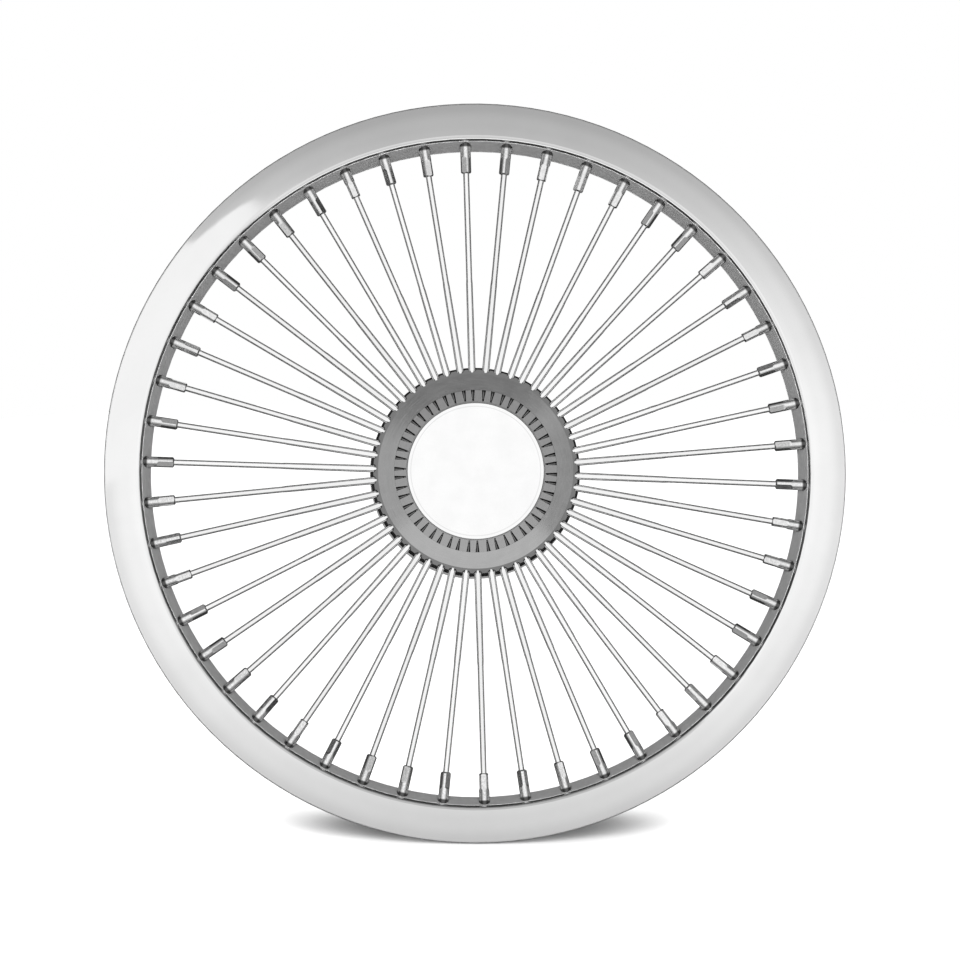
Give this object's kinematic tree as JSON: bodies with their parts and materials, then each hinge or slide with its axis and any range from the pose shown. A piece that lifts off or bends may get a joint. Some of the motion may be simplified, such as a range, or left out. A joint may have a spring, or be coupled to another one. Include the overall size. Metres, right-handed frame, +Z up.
{
  "type": "wire wheel spinner",
  "caption": "Wire-spoked spinner for the face of a road wheel: a polished lip on thin spokes round a capped hub, free to turn on a bolted-on bearing spindle.",
  "frame": {"origin": "centre of the mounting spindle's flat rear face, on the axis that the spinner turns about", "axes": "+Y along the axis, out of the mounting face towards the road wheel; the visible front faces -Y; +Z up and +X to the right as seen from the front"},
  "size_m": [0.5079, 0.0434, 0.508],
  "materials": {
    "polished_lip": "mirror polished",
    "brushed_band": "brushed round the hoop",
    "nipple_chrome": "bright plated",
    "spoke_chrome": "bright plated",
    "hub_metal": "turned, satin",
    "clamp_metal": "turned and plated",
    "cap_polish": "polished",
    "seal_rubber": "moulded",
    "spring_steel": "blackened",
    "bearing_steel": "ground",
    "spindle_steel": "turned"
  },
  "bodies": {
    "carrier": {"mounting_spindle": "spindle_steel", "rear_inner_race": "bearing_steel", "front_inner_race": "bearing_steel", "rear_balls": "bearing_steel", "front_balls": "bearing_steel", "spindle_washer": "spindle_steel", "spindle_locknut": "spindle_steel"},
    "spinner": {"outer_lip": "polished_lip", "spoke_band": "brushed_band", "nipples": "nipple_chrome", "spoke_pair_01": "spoke_chrome", "spoke_pair_02": "spoke_chrome", "spoke_pair_03": "spoke_chrome", "spoke_pair_04": "spoke_chrome", "spoke_pair_05": "spoke_chrome", "spoke_pair_06": "spoke_chrome", "spoke_pair_07": "spoke_chrome", "spoke_pair_08": "spoke_chrome", "spoke_pair_09": "spoke_chrome", "spoke_pair_10": "spoke_chrome", "spoke_pair_11": "spoke_chrome", "spoke_pair_12": "spoke_chrome", "spoke_pair_13": "spoke_chrome", "spoke_pair_14": "spoke_chrome", "spoke_pair_15": "spoke_chrome", "spoke_pair_16": "spoke_chrome", "spoke_pair_17": "spoke_chrome", "spoke_pair_18": "spoke_chrome", "spoke_pair_19": "spoke_chrome", "spoke_pair_20": "spoke_chrome", "spoke_pair_21": "spoke_chrome", "spoke_pair_22": "spoke_chrome", "spoke_pair_23": "spoke_chrome", "spoke_pair_24": "spoke_chrome", "spoke_pair_25": "spoke_chrome", "hub_body": "hub_metal", "clamp_ring": "clamp_metal", "centre_cap": "cap_polish", "cap_seal": "seal_rubber", "retaining_ring": "spring_steel", "rear_outer_race": "bearing_steel", "front_outer_race": "bearing_steel", "rear_seals": "seal_rubber", "front_seals": "seal_rubber"}
  },
  "joints": [
    {"name": "spin", "type": "hinge", "parent": "carrier", "child": "spinner", "pos_m": [0, 0, 0], "axis": [0, 1, 0], "continuous": true}
  ]
}
